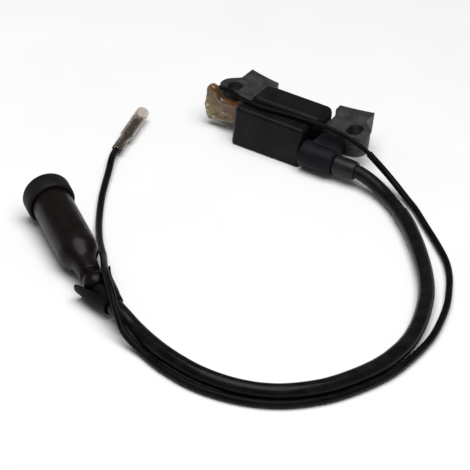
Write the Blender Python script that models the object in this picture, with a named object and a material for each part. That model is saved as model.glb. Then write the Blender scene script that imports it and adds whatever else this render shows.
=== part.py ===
"""Flywheel ignition coil for a small petrol engine, with its two leads.

Lengths are written in millimetres, and MM turns them into metres when a mesh is made.
The shapes are laid out in the coil's own frame: X runs along the line of the two mounting
holes, Y points to the flywheel, Z is up, and the hole line is X = Y = 0 halfway between them.
The empty coil_frame then puts the middle of the coil module's underside at the world's origin.
"""

import math

import bmesh
import bpy
from mathutils import Matrix, Vector

MM = 0.001
GAP = 0.3

# Laminated core
HOLE_X = 35.0
SLOT_WIDTH = 7.4
LEFT_SLOT = (-4.6, 4.4)
RIGHT_SLOT = (-7.0, 4.7)
CORE_LOW, CORE_HIGH = 7.0, 19.0
BAR_FRONT, BAR_BACK = -7.5, -0.5
FOOT_FRONT = -8.9
LEG_INNER_X = 20.5
POLE_INNER_X, POLE_OUTER_X = 18.0, 36.0
POLE_INNER_Y = 16.8
FLYWHEEL_RADIUS = 118.0
LUG_CENTRE = (34.4, -0.3)
LUG_RADIUS = 8.6
NOTCH_Y = 9.8

# Winding block
COIL_X = 20.0
COIL_FRONT, COIL_BACK = -13.0, 5.0
COIL_TOP = 24.5
WALL = 1.2
WINDING_X = 17.0
WINDOW_OFFSET = 1.2

# Igniter block
IGNITER_LEFT, IGNITER_RIGHT = -23.4, 16.0
IGNITER_FRONT, IGNITER_BACK = -23.5, -13.3
IGNITER_TOP = 21.5

# High-tension outlet
TOWER_Y, TOWER_Z = -20.6, 8.0
BOSS_RADIUS = 7.0
BOSS_START, BOSS_END = 16.3, 34.5
STUB_LEFT, STUB_BACK, STUB_TOP = 20.3, -9.4, 16.0
COLLAR_RADIUS = 5.0
COLLAR_END = 46.8
LEAD_BORE = 3.9

# Leads
LEAD_RADIUS = 3.6
LEAD_SLEEVE_RADIUS = 4.1
WIRE_RADIUS = 1.2
WIRE_SLEEVE_RADIUS = 1.75

# Stop-switch terminal at the coil's left end
TAB_Y, TAB_Z = -12.2, 13.1
TAB_TILT = math.radians(14)
TAB_LENGTH = 11.8
TAB_HALF_HEIGHT = 3.1
BARREL_START = (-43.7, -12.7, 20.4)
BARREL_HEADING = math.radians(37)
BARREL_RADIUS, BARREL_LENGTH = 1.2, 2.2

# Plug cap: lengths run from the seal's inner face, towards the lead
SEAL_CENTRE = Vector((-61.0, -143.5, 12.2))
CAP_DIRECTION = Vector((0.769, -0.640, -0.058)).normalized()
SEAL_RADIUS, SEAL_LENGTH = 12.0, 10.5
CAP_RADIUS = 10.0
NECK_END = 56.4
BEAD_AT, BEAD_RADIUS, BEAD_BORE = 62.6, 6.1, 4.5
BOOT_AT = 66.0
BOOT_DIRECTION = Vector((0.875, -0.483, -0.060)).normalized()
BOOT_MOUTH, BOOT_END = -6.2, 14.5

# Bullet connector
BULLET_START = Vector((-63.8, -71.9, 3.8))
BULLET_DIRECTION = Vector((-0.188, 0.982, 0.0)).normalized()
COVER_NECK, COVER_LENGTH = 14.0, 41.0
COVER_RADIUS, COVER_NECK_RADIUS = 3.6, 2.7
COVER_WALL = 0.55

LEAD_ROUTE = [
    (29.0, -20.6, 8.0), (38.0, -20.6, 8.0), (46.8, -20.6, 8.0), (52.0, -21.3, 7.5),
    (58.6, -23.0, 6.2), (65.8, -26.2, 4.8), (72.8, -30.9, 4.2), (79.1, -36.3, 4.2),
]
LEAD_SLEEVE_ROUTE = [
    (79.4, -36.6, 4.2), (85.5, -42.6, 4.2), (91.0, -49.0, 4.2), (100.2, -60.9, 4.2),
    (110.1, -75.7, 4.2), (116.7, -87.6, 4.2), (121.8, -100.0, 4.2), (126.6, -117.5, 4.2),
    (128.7, -132.2, 4.2), (128.5, -144.8, 4.2), (125.7, -161.0, 4.2), (118.7, -178.7, 4.2),
    (110.5, -192.5, 4.2), (97.6, -205.6, 4.2), (82.3, -213.1, 4.2), (63.9, -215.3, 4.2),
    (47.1, -212.6, 4.2), (33.8, -208.1, 4.2), (21.6, -202.6, 4.6), (13.9, -199.5, 6.2),
    (6.8, -196.2, 7.2),
]
WIRE_ROUTE = [
    (-41.6, -11.1, 20.4), (-40.0, -9.9, 20.5), (-38.1, -8.8, 20.5), (-35.6, -8.3, 20.5),
    (-33.0, -8.9, 20.5), (-30.4, -10.2, 20.6), (-26.0, -13.2, 21.4), (-21.4, -16.1, 22.7),
    (-16.0, -17.6, 23.0), (-8.2, -17.4, 23.0), (0.5, -16.3, 23.0), (11.0, -15.1, 23.0),
    (20.8, -14.4, 23.0), (29.5, -13.7, 22.3), (38.2, -13.2, 20.3), (44.5, -12.8, 17.9),
    (48.6, -12.6, 15.9),
]
WIRE_SLEEVE_ROUTE = [
    (48.9, -12.6, 15.7), (52.6, -12.6, 13.2), (58.8, -12.8, 9.2), (66.4, -14.8, 5.4),
    (75.4, -19.7, 2.7), (82.9, -25.1, 1.9), (92.5, -34.9, 1.9), (104.1, -46.7, 1.9),
    (114.3, -58.3, 1.9), (121.1, -69.3, 1.9), (126.2, -81.1, 1.9), (130.5, -93.6, 1.9),
    (133.8, -109.2, 1.9), (135.4, -124.6, 1.9), (134.2, -145.3, 1.9), (130.9, -162.6, 1.9),
    (123.5, -181.2, 1.9), (114.7, -196.0, 1.9), (100.8, -210.1, 1.9), (83.8, -218.6, 1.9),
    (63.8, -221.6, 1.9), (45.6, -218.5, 1.9), (31.9, -213.4, 2.3), (20.4, -209.8, 5.6),
    (12.4, -204.7, 11.6), (7.6, -200.6, 15.3), (2.0, -194.9, 17.4), (-1.9, -190.2, 17.6),
    (-6.6, -183.6, 15.7), (-12.0, -174.4, 12.6), (-16.6, -166.8, 9.8), (-26.2, -152.9, 6.0),
    (-35.0, -138.5, 3.2), (-41.2, -127.1, 1.9), (-45.3, -119.1, 1.9), (-49.3, -110.7, 1.9),
    (-52.9, -102.2, 1.9), (-55.8, -94.9, 2.1), (-58.2, -88.8, 2.6), (-60.65, -83.0, 3.3),
    (-62.7, -77.3, 3.75), (-63.75, -72.2, 3.8),
]

LOOKS = {
    "core_steel": ((0.075, 0.078, 0.082), 0.55, 0.7),
    "black_moulding": ((0.012, 0.012, 0.014), 0.42, 0.0),
    "black_gloss": ((0.010, 0.006, 0.006), 0.15, 0.0),
    "black_rubber": ((0.014, 0.014, 0.014), 0.6, 0.0),
    "black_vinyl": ((0.010, 0.010, 0.010), 0.35, 0.0),
    "amber_vinyl": ((0.62, 0.38, 0.17), 0.25, 0.0),
    "clear_vinyl": ((0.80, 0.80, 0.76), 0.2, 0.0),
    "brass": ((0.72, 0.50, 0.22), 0.35, 1.0),
    "tinned_steel": ((0.55, 0.56, 0.55), 0.35, 1.0),
    "copper_wire": ((0.60, 0.25, 0.10), 0.4, 1.0),
    "bobbin_nylon": ((0.75, 0.72, 0.62), 0.5, 0.0),
    "potting_resin": ((0.02, 0.02, 0.02), 0.3, 0.0),
    "board_green": ((0.03, 0.16, 0.07), 0.5, 0.0),
    "component_grey": ((0.10, 0.10, 0.10), 0.5, 0.0),
    "ceramic": ((0.72, 0.68, 0.60), 0.5, 0.0),
}


# ---------------------------------------------------------------- outlines

def arc(centre, radius, start, end, steps):
    """Points on a circle from one angle to another, in degrees, both ends included."""
    points = []
    for i in range(steps + 1):
        angle = math.radians(start + (end - start) * i / steps)
        points.append((centre[0] + radius * math.cos(angle), centre[1] + radius * math.sin(angle)))
    return points


def round_rect(low, high, radius, steps):
    """A rectangle with round corners, anticlockwise."""
    (u0, v0), (u1, v1) = low, high
    return (
        arc((u1 - radius, v0 + radius), radius, -90, 0, steps)
        + arc((u1 - radius, v1 - radius), radius, 0, 90, steps)
        + arc((u0 + radius, v1 - radius), radius, 90, 180, steps)
        + arc((u0 + radius, v0 + radius), radius, 180, 270, steps)
    )


def core_outline():
    """The core from above: a bar with a foot at each end, each foot with a pole shoe and a lug."""
    flywheel_y = POLE_INNER_Y + math.sqrt(FLYWHEEL_RADIUS**2 - POLE_INNER_X**2)
    right = [(21.5, BAR_FRONT), (23.0, FOOT_FRONT)]
    right += arc(LUG_CENTRE, LUG_RADIUS, -90, 50, 9)
    right.append((POLE_OUTER_X + 0.4, NOTCH_Y))
    pole_steps = 5
    for i in range(pole_steps + 1):
        x = POLE_OUTER_X + (POLE_INNER_X - POLE_OUTER_X) * i / pole_steps
        right.append((x, flywheel_y - math.sqrt(FLYWHEEL_RADIUS**2 - x**2)))
    right += [(POLE_INNER_X, 11.5), (LEG_INNER_X, 6.3), (LEG_INNER_X, BAR_BACK)]
    left = [(-x, y) for x, y in reversed(right)]
    return right + left


def smooth_route(points, spacing):
    """Points at an even spacing along a Catmull-Rom curve through the route's own points."""
    knots = [Vector(p) for p in points]
    knots = [2 * knots[0] - knots[1]] + knots + [2 * knots[-1] - knots[-2]]
    dense = []
    for a, b, c, d in zip(knots, knots[1:], knots[2:], knots[3:]):
        for i in range(24):
            t = i / 24
            dense.append(
                0.5 * (2 * b + (c - a) * t + (2 * a - 5 * b + 4 * c - d) * t**2
                       + (3 * b - a - 3 * c + d) * t**3)
            )
    dense.append(knots[-2])
    lengths = [0.0]
    for p, q in zip(dense, dense[1:]):
        lengths.append(lengths[-1] + (q - p).length)
    count = max(2, round(lengths[-1] / spacing))
    route, j = [], 0
    for i in range(count + 1):
        target = lengths[-1] * i / count
        while j < len(dense) - 2 and lengths[j + 1] < target:
            j += 1
        share = (target - lengths[j]) / (lengths[j + 1] - lengths[j])
        route.append(dense[j].lerp(dense[j + 1], min(1.0, share)))
    return route


# ---------------------------------------------------------------- solids

def material(look):
    """The Principled material of that name, made once."""
    found = bpy.data.materials.get(look)
    if found:
        return found
    color, roughness, metallic = LOOKS[look]
    made = bpy.data.materials.new(look)
    made.use_nodes = True
    shader = made.node_tree.nodes["Principled BSDF"]
    shader.inputs["Base Color"].default_value = (*color, 1.0)
    shader.inputs["Roughness"].default_value = roughness
    shader.inputs["Metallic"].default_value = metallic
    made.diffuse_color = (*color, 1.0)
    return made


def add_object(name, shape, look, parent, sharp=35):
    """An object from a bmesh in millimetres, in its parent's frame."""
    for vertex in shape.verts:
        vertex.co *= MM
    bmesh.ops.recalc_face_normals(shape, faces=shape.faces)
    mesh = bpy.data.meshes.new(name)
    shape.to_mesh(mesh)
    shape.free()
    mesh.shade_smooth()
    mesh.set_sharp_from_angle(angle=math.radians(sharp))
    obj = bpy.data.objects.new(name, mesh)
    bpy.context.scene.collection.objects.link(obj)
    mesh.materials.append(material(look))
    obj.parent = parent
    return obj


def add_frame(name, origin, direction=None, parent=None):
    """An empty at a point, with its local Z along a direction and its local Y as near up as can be."""
    empty = bpy.data.objects.new(name, None)
    bpy.context.scene.collection.objects.link(empty)
    turn = Matrix.Identity(3)
    if direction is not None:
        side = Vector((0, 0, 1)).cross(direction).normalized()
        turn = Matrix((side, direction.cross(side), direction)).transposed()
    empty.matrix_local = Matrix.Translation(Vector(origin) * MM) @ turn.to_4x4()
    empty.empty_display_size = 0.01
    empty.parent = parent
    return empty


def place(shape, matrix):
    """Moves a whole bmesh."""
    bmesh.ops.transform(shape, matrix=matrix, verts=shape.verts)
    return shape


def prism(outline, low, high, axis="Z"):
    """An outline carried along an axis: (x, y) along Z, (x, z) along Y, or (y, z) along X."""
    to_3d = {
        "Z": lambda u, v, w: (u, v, w),
        "Y": lambda u, v, w: (u, w, v),
        "X": lambda u, v, w: (w, u, v),
    }[axis]
    shape = bmesh.new()
    first = [shape.verts.new(to_3d(u, v, low)) for u, v in outline]
    last = [shape.verts.new(to_3d(u, v, high)) for u, v in outline]
    shape.faces.new(first)
    shape.faces.new(last)
    for i in range(len(outline)):
        j = (i + 1) % len(outline)
        shape.faces.new((first[i], first[j], last[j], last[i]))
    return shape


def box(low, high):
    """A plain box from its lowest to its highest corner."""
    outline = [(low[0], low[1]), (high[0], low[1]), (high[0], high[1]), (low[0], high[1])]
    return prism(outline, low[2], high[2])


def moulded_block(low, high, corner, edge, corner_steps=4, edge_steps=3):
    """A box with round upright corners, and a round edge round its top."""
    outline = round_rect(low[:2], high[:2], corner, corner_steps)
    shape = prism(outline, low[2], high[2])
    rim = [e for e in shape.edges if all(abs(v.co.z - high[2]) < 1e-6 for v in e.verts)]
    bmesh.ops.bevel(shape, geom=rim, offset=edge, segments=edge_steps, profile=0.5, affect="EDGES")
    return shape


def turned(profile, steps, axis_turn=None):
    """A closed profile of (radius, height) points turned round local Z; on-axis points are merged."""
    shape = bmesh.new()
    loop = [shape.verts.new((r, 0.0, h)) for r, h in profile]
    edges = [shape.edges.new((a, b)) for a, b in zip(loop, loop[1:] + loop[:1])]
    if profile[0][0] == 0.0 and profile[-1][0] == 0.0:
        shape.edges.remove(edges.pop())
    bmesh.ops.spin(
        shape, geom=loop + edges, cent=(0, 0, 0), axis=(0, 0, 1), angle=2 * math.pi,
        steps=steps, use_merge=True,
    )
    bmesh.ops.remove_doubles(shape, verts=shape.verts, dist=1e-5)
    if axis_turn is not None:
        place(shape, axis_turn)
    return shape


def around_bar(profile, corner_steps=2):
    """A closed profile of (x, distance from the bar) points, carried round the core's bar."""
    shape = bmesh.new()
    rings = []
    for x, distance in profile:
        outline = round_rect(
            (BAR_FRONT - distance, CORE_LOW - distance),
            (BAR_BACK + distance, CORE_HIGH + distance), distance, corner_steps,
        )
        rings.append([shape.verts.new((x, y, z)) for y, z in outline])
    for a, b in zip(rings, rings[1:] + rings[:1]):
        for i in range(len(a)):
            j = (i + 1) % len(a)
            shape.faces.new((a[i], a[j], b[j], b[i]))
    return shape


def band(x0, x1, inner, outer):
    """The profile of one plain ring on the bar."""
    return [(x0, inner), (x0, outer), (x1, outer), (x1, inner)]


def group(shapes):
    """Several separate solids as one bmesh."""
    whole = bmesh.new()
    for shape in shapes:
        mesh = bpy.data.meshes.new("part_of_group")
        shape.to_mesh(mesh)
        shape.free()
        whole.from_mesh(mesh)
        bpy.data.meshes.remove(mesh)
    return whole


def along_x(x, y, z):
    """Puts a turned shape's axis along X, its foot at the point given."""
    return Matrix.Translation((x, y, z)) @ Matrix.Rotation(math.radians(90), 4, "Y")


def combine(obj, shape, operation):
    """Cuts a shape out of an object, or joins it on, with a Boolean modifier."""
    cutter = add_object(f"{obj.name}_{operation.lower()}", shape, "component_grey", obj.parent)
    cutter.hide_render = True
    cutter.display_type = "WIRE"
    modifier = obj.modifiers.new(operation.title(), "BOOLEAN")
    modifier.operation = operation
    modifier.object = cutter
    modifier.solver = "EXACT"
    return obj


def add_tube(name, route, radius, look, parent, resolution=2):
    """A round cord along a smooth route, with flat ends."""
    curve = bpy.data.curves.new(name, "CURVE")
    curve.dimensions = "3D"
    curve.bevel_depth = radius * MM
    curve.bevel_resolution = resolution
    curve.use_fill_caps = True
    spline = curve.splines.new("POLY")
    spline.points.add(len(route) - 1)
    for point, place_at in zip(spline.points, route):
        point.co = (*(place_at * MM), 1.0)
    spline.use_smooth = True
    curve.materials.append(material(look))
    obj = bpy.data.objects.new(name, curve)
    bpy.context.scene.collection.objects.link(obj)
    obj.parent = parent
    return obj


# ---------------------------------------------------------------- the coil module

def add_core(frame):
    """The stack of plates, with a slotted bolt hole in each foot."""
    core = add_object(
        "core_laminations", prism(core_outline(), CORE_LOW, CORE_HIGH), "core_steel", frame
    )
    half_width = SLOT_WIDTH / 2
    slots = []
    for x, (front, back) in ((-HOLE_X, LEFT_SLOT), (HOLE_X, RIGHT_SLOT)):
        outline = round_rect((x - half_width, front), (x + half_width, back), half_width, 6)
        slots.append(prism(outline, CORE_LOW - 2, CORE_HIGH + 2))
    combine(core, group(slots), "DIFFERENCE")


def add_windings(frame):
    """Both bobbins and their windings, one inside the other on the bar."""
    tube_end, flange = COIL_X - 0.2, WINDING_X + GAP
    primary_bobbin = [
        (-tube_end, 0.3), (-tube_end, 0.9), (-flange - 0.6, 0.9), (-flange - 0.6, 3.2),
        (-flange, 3.2), (-flange, 0.9), (flange, 0.9), (flange, 3.2), (flange + 0.6, 3.2),
        (flange + 0.6, 0.9), (tube_end, 0.9), (tube_end, 0.3),
    ]
    add_object("primary_bobbin", around_bar(primary_bobbin), "bobbin_nylon", frame)
    primary = around_bar(band(-WINDING_X, WINDING_X, 1.2, 2.0))
    add_object("primary_winding", primary, "copper_wire", frame)

    sections, wall = 4, 0.8
    pitch = (2 * WINDING_X - wall) / sections
    profile = [(-WINDING_X, 2.3)]
    for i in range(sections + 1):
        x = -WINDING_X + i * pitch
        profile += [(x, 3.9), (x + wall, 3.9)]
        if i < sections:
            profile += [(x + wall, 2.8), (x + pitch, 2.8)]
            coil = around_bar(band(x + wall + GAP, x + pitch - GAP, 3.1, 3.7))
            add_object(f"secondary_winding_{i + 1}", coil, "copper_wire", frame)
    profile.append((WINDING_X, 2.3))
    add_object("secondary_bobbin", around_bar(profile), "bobbin_nylon", frame)


def add_coil_housing(frame):
    """The winding block: a shell open underneath, with a window for the bar in each end."""
    outer = moulded_block((-COIL_X, COIL_FRONT, 0.0), (COIL_X, COIL_BACK, COIL_TOP), 3.6, 3.2)
    housing = add_object("coil_housing", outer, "black_moulding", frame)
    cavity = moulded_block(
        (-COIL_X + WALL, COIL_FRONT + WALL, -2.0),
        (COIL_X - WALL, COIL_BACK - WALL, COIL_TOP - WALL), 2.4, 2.0,
    )
    combine(housing, cavity, "DIFFERENCE")
    window = prism(
        round_rect(
            (BAR_FRONT - WINDOW_OFFSET, CORE_LOW - WINDOW_OFFSET),
            (BAR_BACK + WINDOW_OFFSET, CORE_HIGH + WINDOW_OFFSET), WINDOW_OFFSET, 2,
        ), -COIL_X - 2, COIL_X + 2, "X",
    )
    cutter = add_object("coil_housing_window", window, "component_grey", frame)
    cutter.hide_render = True
    cutter.display_type = "WIRE"
    modifier = housing.modifiers.new("Window", "BOOLEAN")
    modifier.operation = "DIFFERENCE"
    modifier.object = cutter
    modifier.solver = "EXACT"
    inset = WALL + GAP
    potting = prism(
        round_rect((-COIL_X + inset, COIL_FRONT + inset), (COIL_X - inset, COIL_BACK - inset), 2.1, 4),
        0.5, 2.7,
    )
    add_object("coil_potting", potting, "potting_resin", frame)


def add_igniter(frame):
    """The igniter block, open underneath, and the board and parts in it."""
    outer = moulded_block(
        (IGNITER_LEFT, IGNITER_FRONT, 0.0), (IGNITER_RIGHT, IGNITER_BACK, IGNITER_TOP), 2.4, 2.0
    )
    housing = add_object("igniter_housing", outer, "black_moulding", frame)
    cavity = moulded_block(
        (IGNITER_LEFT + WALL, IGNITER_FRONT + WALL, -2.0),
        (IGNITER_RIGHT - WALL, IGNITER_BACK - WALL, IGNITER_TOP - WALL), 1.3, 0.9,
        corner_steps=3, edge_steps=2,
    )
    combine(housing, cavity, "DIFFERENCE")
    inset = WALL + GAP
    potting = prism(
        round_rect(
            (IGNITER_LEFT + inset, IGNITER_FRONT + inset),
            (IGNITER_RIGHT - inset, IGNITER_BACK - inset), 1.0, 3,
        ), 0.5, 2.7,
    )
    add_object("igniter_potting", potting, "potting_resin", frame)
    board_face = -19.4
    add_object(
        "igniter_board", box((-17.5, board_face, 3.4), (12.5, board_face + 1.0, 18.6)),
        "board_green", frame,
    )
    front = board_face - GAP
    package = [(-3.0, 15.0), (-3.0, 8.0)]
    for leg in (-2.6, 0.4, 3.4):
        package += [(leg, 8.0), (leg, 4.2), (leg + 1.2, 4.2), (leg + 1.2, 8.0)]
    package += [(5.0, 8.0), (5.0, 15.0)]
    add_object(
        "power_transistor", prism(package, front - 1.9, front, "Y"), "component_grey", frame
    )
    add_object(
        "board_capacitor", box((8.0, front - 1.9, 7.0), (11.5, front, 13.0)), "ceramic", frame
    )
    behind = board_face + 1.0 + GAP + 1.1
    for i, height in enumerate((8.0, 14.0)):
        resistor = turned(
            [(0.0, 0.0), (0.9, 0.0), (1.1, 0.4), (1.1, 6.6), (0.9, 7.0), (0.0, 7.0)],
            10, along_x(-14.0, behind, height),
        )
        add_object(f"board_resistor_{i + 1}", resistor, "component_grey", frame)


def add_tower(frame):
    """The high-tension outlet: a box stub and a round boss, bored for the lead, and its collar."""
    boss = turned(
        [(0.0, 0.0), (BOSS_RADIUS - 0.6, 0.0), (BOSS_RADIUS, 0.6),
         (BOSS_RADIUS, BOSS_END - BOSS_START - 1.2), (BOSS_RADIUS - 1.2, BOSS_END - BOSS_START),
         (0.0, BOSS_END - BOSS_START)],
        24, along_x(BOSS_START, TOWER_Y, TOWER_Z),
    )
    tower = add_object("ht_tower", boss, "black_moulding", frame)
    stub = prism(
        round_rect((STUB_LEFT, TOWER_Y), (BOSS_END - 0.4, STUB_BACK), 1.0, 2), 2.0, STUB_TOP
    )
    combine(tower, stub, "UNION")
    pin_bore, lead_bore_start = 1.2, 27.0
    bore = turned(
        [(0.0, 3.0), (pin_bore, 3.0), (pin_bore, lead_bore_start - BOSS_START),
         (LEAD_BORE, lead_bore_start - BOSS_START), (LEAD_BORE, 40.0), (0.0, 40.0)],
        16, along_x(BOSS_START, TOWER_Y, TOWER_Z),
    )
    combine(tower, bore, "DIFFERENCE")
    spike = turned(
        [(0.0, 0.0), (0.9, 0.0), (0.9, 7.0), (0.0, 8.8)], 8,
        along_x(BOSS_START + 3.4, TOWER_Y, TOWER_Z),
    )
    add_object("ht_spike", spike, "brass", frame)
    start, end = BOSS_END + GAP, COLLAR_END
    collar = turned(
        [(LEAD_BORE, 0.0), (COLLAR_RADIUS, 0.0), (COLLAR_RADIUS, end - start - 2.0),
         (COLLAR_RADIUS - 0.5, end - start), (LEAD_BORE, end - start)],
        20, along_x(start, TOWER_Y, TOWER_Z),
    )
    add_object("ht_collar", collar, "black_rubber", frame)


def tab_point(distance, height):
    """A point in X and Z on the stop-switch tab, which droops away from the housing."""
    along, across = math.cos(TAB_TILT), math.sin(TAB_TILT)
    x = -COIL_X - GAP - distance * along - height * across
    z = TAB_Z - distance * across + height * along
    return (x, z)


def add_stop_terminal(frame):
    """The blade at the coil's left end, the flag terminal on it, and the soft cover over both."""
    tall = TAB_HALF_HEIGHT
    blade = [
        (-COIL_X - GAP, TAB_Z - tall), (-COIL_X - GAP, TAB_Z + tall),
        tab_point(2.0, tall), tab_point(TAB_LENGTH - 1.0, tall), tab_point(TAB_LENGTH, tall - 1.0),
        tab_point(TAB_LENGTH, 1.0 - tall), tab_point(TAB_LENGTH - 1.0, -tall), tab_point(2.0, -tall),
    ]
    add_object("kill_tab", prism(blade, TAB_Y - 0.4, TAB_Y + 0.4, "Y"), "brass", frame)

    grip = tall + 0.7
    receptacle = [
        tab_point(4.5, grip), tab_point(13.5, grip), tab_point(13.5, -grip), tab_point(4.5, -grip)
    ]
    terminal = add_object(
        "kill_flag_terminal", prism(receptacle, TAB_Y - 1.1, TAB_Y + 1.1, "Y"), "brass", frame
    )
    slot = [
        tab_point(0.0, tall + 0.3), tab_point(TAB_LENGTH + 0.4, tall + 0.3),
        tab_point(TAB_LENGTH + 0.4, -tall - 0.3), tab_point(0.0, -tall - 0.3),
    ]
    combine(terminal, prism(slot, TAB_Y - 0.7, TAB_Y + 0.7, "Y"), "DIFFERENCE")
    flag = [
        tab_point(13.0, 3.0), (-41.0, 19.6), (-43.8, 19.6), (-44.0, 12.0), tab_point(20.0, -1.0),
        tab_point(13.0, -3.0),
    ]
    combine(terminal, prism(flag, TAB_Y - 0.5, TAB_Y + 0.5, "Y"), "UNION")
    heading = Matrix.Translation(BARREL_START) @ Matrix.Rotation(BARREL_HEADING, 4, "Z")
    barrel = turned(
        [(0.0, 0.0), (BARREL_RADIUS, 0.0), (BARREL_RADIUS, BARREL_LENGTH), (0.0, BARREL_LENGTH)],
        12, heading @ along_x(0, 0, 0),
    )
    combine(terminal, barrel, "UNION")

    # The cover is an L: an arm over the receptacle and an upright over the barrel.
    outer = [
        (-23.9, 7.0), (-41.0, 2.9), (-42.9, 4.4), (-44.9, 10.4), (-45.7, 16.5), (-45.5, 20.6),
        (-44.0, 22.6), (-41.4, 22.6), (-38.9, 21.0), (-36.6, 17.4), (-33.6, 16.6), (-23.9, 17.9),
    ]
    inner = [
        (-20.0, 8.7), (-40.7, 3.7), (-42.2, 4.9), (-44.1, 10.6), (-44.9, 16.5), (-44.7, 20.3),
        (-43.7, 21.8), (-41.6, 21.8), (-39.4, 20.5), (-37.1, 16.7), (-33.7, 15.8), (-20.0, 17.6),
    ]
    half = 2.5
    cover = add_object(
        "terminal_cover", prism(outer, TAB_Y - half, TAB_Y + half, "Y"), "amber_vinyl", frame
    )
    combine(cover, prism(inner, TAB_Y - half + 0.7, TAB_Y + half - 0.7, "Y"), "DIFFERENCE")
    wire_hole = turned(
        [(0.0, 1.4), (1.6, 1.4), (1.6, 8.0), (0.0, 8.0)], 12, heading @ along_x(0, 0, 0)
    )
    combine(cover, wire_hole, "DIFFERENCE")


# ---------------------------------------------------------------- plug cap and connector

def add_cap(frame):
    """The plug cap, turned about its own axis, with what carries the current inside it."""
    inner_face = SEAL_CENTRE + CAP_DIRECTION * (SEAL_LENGTH / 2)
    axis = add_frame("cap_axis", inner_face, CAP_DIRECTION, frame)
    seal = [
        (10.3, -7.7), (10.3, 0.0), (11.2, 0.0), (SEAL_RADIUS, -1.0),
        (SEAL_RADIUS, 1.2 - SEAL_LENGTH), (10.9, -SEAL_LENGTH), (8.8, -SEAL_LENGTH), (8.8, -7.7),
    ]
    add_object("cap_seal", turned(seal, 24), "black_rubber", axis)
    body = [
        (CAP_RADIUS, -7.4), (CAP_RADIUS, 38.0), (9.5, 40.6), (8.2, 43.2), (6.7, 45.8), (6.0, 48.5),
        (5.4, NECK_END), (LEAD_BORE, NECK_END), (LEAD_BORE, 28.0), (8.3, 28.0), (8.3, -7.4),
    ]
    add_object("cap_body", turned(body, 24), "black_gloss", axis)
    bead = [(BEAD_BORE, NECK_END + GAP), (5.2, NECK_END + GAP)]
    bead += [(r, BEAD_AT + h) for h, r in arc((0.0, 0.0), BEAD_RADIUS, 121, 59, 7)]
    bead.append((BEAD_BORE, BEAD_AT + 3.5))
    add_object("cap_neck_bead", turned(bead, 20), "black_gloss", axis)

    clip = [
        (3.0, 6.0), (4.2, 6.0), (4.6, 9.0), (4.2, 12.0), (4.6, 15.0), (4.6, 17.0), (0.0, 17.0),
        (0.0, 16.2), (3.8, 16.2), (3.4, 12.0), (3.8, 9.0),
    ]
    clip.append(clip.pop(0))
    add_object("plug_clip", turned(turn_start(clip), 12), "brass", axis)
    add_object(
        "cap_resistor", turned([(0.0, 24.4), (2.4, 24.4), (2.4, 36.0), (0.0, 36.0)], 12),
        "ceramic", axis,
    )
    screw = [(0.0, 36.3), (2.8, 36.3), (2.8, 37.8), (1.2, 37.8), (1.2, 39.4), (0.0, 40.6)]
    add_object("cap_screw", turned(screw, 10), "brass", axis)
    turns, points_a_turn, spring_low, spring_high = 5, 9, 17.9, 23.6
    coil = []
    for i in range(turns * points_a_turn + 1):
        angle = 2 * math.pi * i / points_a_turn
        height = spring_low + (spring_high - spring_low) * i / (turns * points_a_turn)
        coil.append(Vector((2.6 * math.cos(angle), 2.6 * math.sin(angle), height)))
    add_tube("cap_spring", coil, 0.35, "tinned_steel", axis, resolution=1)


def turn_start(profile):
    """The same closed profile, started at its first on-axis point so that it ends on the axis."""
    on_axis = [i for i, (r, _) in enumerate(profile) if r == 0.0]
    start = on_axis[-1]
    return profile[start:] + profile[:start]


def add_boot(frame):
    """The funnel over the lead's entry, its mouth cut away on top, and the lead's end in it."""
    entry = SEAL_CENTRE + CAP_DIRECTION * (SEAL_LENGTH / 2 + BOOT_AT)
    axis = add_frame("boot_axis", entry, BOOT_DIRECTION, frame)
    outside = [(8.7, BOOT_MOUTH), (8.5, -2.0), (7.9, 2.5), (6.9, 7.0), (5.8, 11.0), (5.2, BOOT_END)]
    inside = [(3.9, BOOT_END), (4.6, 11.0), (5.9, 7.0), (7.0, 2.5), (7.6, -2.0), (7.8, BOOT_MOUTH)]
    boot = add_object("cap_boot", turned(outside + inside, 20), "black_rubber", axis)
    slope = [(0.5, BOOT_MOUTH - 2.0), (8.4, 9.0), (20.0, 9.0), (20.0, BOOT_MOUTH - 2.0)]
    combine(boot, prism(slope, -20.0, 20.0, "X"), "DIFFERENCE")
    into_cap = [
        SEAL_CENTRE + CAP_DIRECTION * (SEAL_LENGTH / 2 + s) for s in (42.0, 50.0, 58.0, 65.0)
    ]
    into_boot = [entry + BOOT_DIRECTION * s for s in (3.0, 8.0, BOOT_END - 0.2)]
    route = smooth_route(into_cap + into_boot, 5.0)
    add_tube("ht_lead_end", route, LEAD_RADIUS, "black_vinyl", frame, resolution=4)


def add_bullet(frame):
    """The bullet connector, and the clear cover that slides back along the lead."""
    axis = add_frame("bullet_axis", BULLET_START, BULLET_DIRECTION, frame)
    terminal = [
        (0.0, GAP), (1.45, GAP), (1.45, 15.5), (1.9, 16.2), (1.9, 24.0), (1.5, 24.6),
        (1.5, 26.0), (1.95, 26.6), (1.95, 31.0), (1.2, 32.4), (0.0, 32.8),
    ]
    add_object("bullet_terminal", turned(terminal, 12), "tinned_steel", axis)
    wide = COVER_RADIUS
    cover = [
        (COVER_NECK_RADIUS, 0.4), (COVER_NECK_RADIUS, COVER_NECK - 1.0), (wide, COVER_NECK + 1.2),
        (wide, COVER_LENGTH), (wide - COVER_WALL, COVER_LENGTH), (wide - COVER_WALL, COVER_NECK + 1.5),
        (COVER_NECK_RADIUS - COVER_WALL, COVER_NECK - 0.7), (COVER_NECK_RADIUS - COVER_WALL, 0.4),
    ]
    add_object("bullet_cover", turned(cover, 20), "clear_vinyl", axis)


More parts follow.
